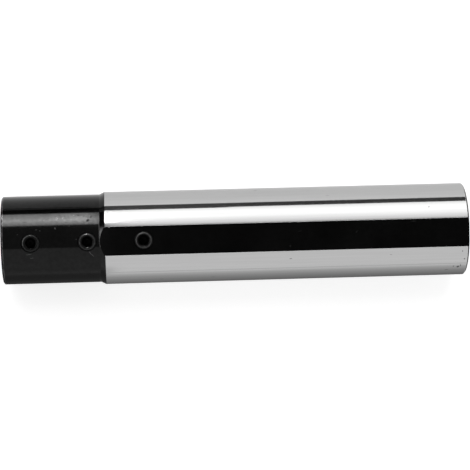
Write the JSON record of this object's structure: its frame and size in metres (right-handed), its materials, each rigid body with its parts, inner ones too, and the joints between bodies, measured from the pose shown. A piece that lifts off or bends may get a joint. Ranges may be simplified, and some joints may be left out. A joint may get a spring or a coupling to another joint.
{
  "type": "boring bar holder",
  "caption": "Straight steel holder with a round flatted shank and a through bore, which grips a small round boring bar with headless clamp screws along one side.",
  "frame": {"origin": "on the axis of the bore, at the front face where the boring bar goes in", "axes": "+X along the axis from the front face to the rear end, +Z out of the flat that holds the clamp screws, and the part rests on the opposite flat, which faces -Z"},
  "size_m": [0.1, 0.02, 0.019],
  "materials": {
    "ground_steel": "cylindrically ground and bright on the shank, black oxide on the head, the shoulder, the flats and the ends",
    "black_screw_steel": "black oxide, slightly worn on the edges"
  },
  "bodies": {
    "holder": {"holder_body": "ground_steel"},
    "front_screw": {"clamp_screw_front": "black_screw_steel"},
    "middle_screw": {"clamp_screw_middle": "black_screw_steel"},
    "rear_screw": {"clamp_screw_rear": "black_screw_steel"}
  },
  "joints": [
    {"name": "front_screw_travel", "type": "slide", "parent": "holder", "child": "front_screw", "axis": [0, 0, 1], "range_m": [-0.0007, 0.0021]},
    {"name": "middle_screw_travel", "type": "slide", "parent": "holder", "child": "middle_screw", "axis": [0, 0, 1], "range_m": [-0.0007, 0.0021]},
    {"name": "rear_screw_travel", "type": "slide", "parent": "holder", "child": "rear_screw", "axis": [0, 0, 1], "range_m": [-0.0007, 0.0021]}
  ]
}
